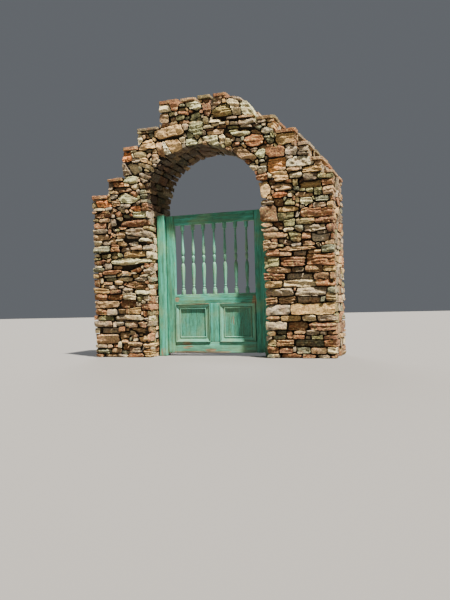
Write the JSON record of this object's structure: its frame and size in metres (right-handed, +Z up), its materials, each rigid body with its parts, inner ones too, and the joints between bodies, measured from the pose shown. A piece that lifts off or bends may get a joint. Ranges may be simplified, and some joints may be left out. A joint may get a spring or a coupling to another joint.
{
  "type": "stone arch gateway with timber gate",
  "caption": "Thick rubble stone gateway with a round arch and stepped top, holding a panelled and balustered timber gate that swings between two posts.",
  "frame": {"origin": "on the ground, midway between the jambs and midway through the wall", "axes": "X along the wall, Y through it from the front face to the back, Z up"},
  "size_m": [2.824, 0.644, 2.85],
  "materials": {
    "wall_stone": "rough fieldstone, deep joints",
    "arch_stone": "rough split stone",
    "cap_stone": "weathered flat slabs",
    "posts": "weathered teal paint",
    "gate_timber": "weathered teal paint, worn to wood at edges",
    "iron": "rusted"
  },
  "bodies": {
    "wall": {"left_pier": "wall_stone", "right_pier": "wall_stone", "left_haunch": "wall_stone", "right_haunch": "wall_stone", "crown_wall": "wall_stone", "left_arch_stones": "arch_stone", "keystone": "arch_stone", "right_arch_stones": "arch_stone", "left_step_slabs": "cap_stone", "right_step_slabs": "cap_stone", "crown_slabs": "cap_stone", "left_post": "posts", "right_post": "posts", "lower_hinge_fixed_leaf": "iron", "lower_hinge_pin": "iron", "upper_hinge_fixed_leaf": "iron", "upper_hinge_pin": "iron"},
    "gate": {"hinge_stile": "gate_timber", "latch_stile": "gate_timber", "top_rail": "gate_timber", "middle_rail": "gate_timber", "bottom_rail": "gate_timber", "muntin": "gate_timber", "left_panel": "gate_timber", "right_panel": "gate_timber", "left_mouldings": "gate_timber", "right_mouldings": "gate_timber", "baluster_1": "gate_timber", "baluster_2": "gate_timber", "baluster_3": "gate_timber", "baluster_4": "gate_timber", "baluster_5": "gate_timber", "baluster_6": "gate_timber", "baluster_7": "gate_timber", "lower_hinge_gate_leaf": "iron", "upper_hinge_gate_leaf": "iron"}
  },
  "joints": [
    {"name": "gate_swing", "type": "hinge", "parent": "wall", "child": "gate", "pos_m": [-0.582, 0.003, 0.8], "axis": [0, 0, 1], "range_deg": [0, 90]}
  ]
}
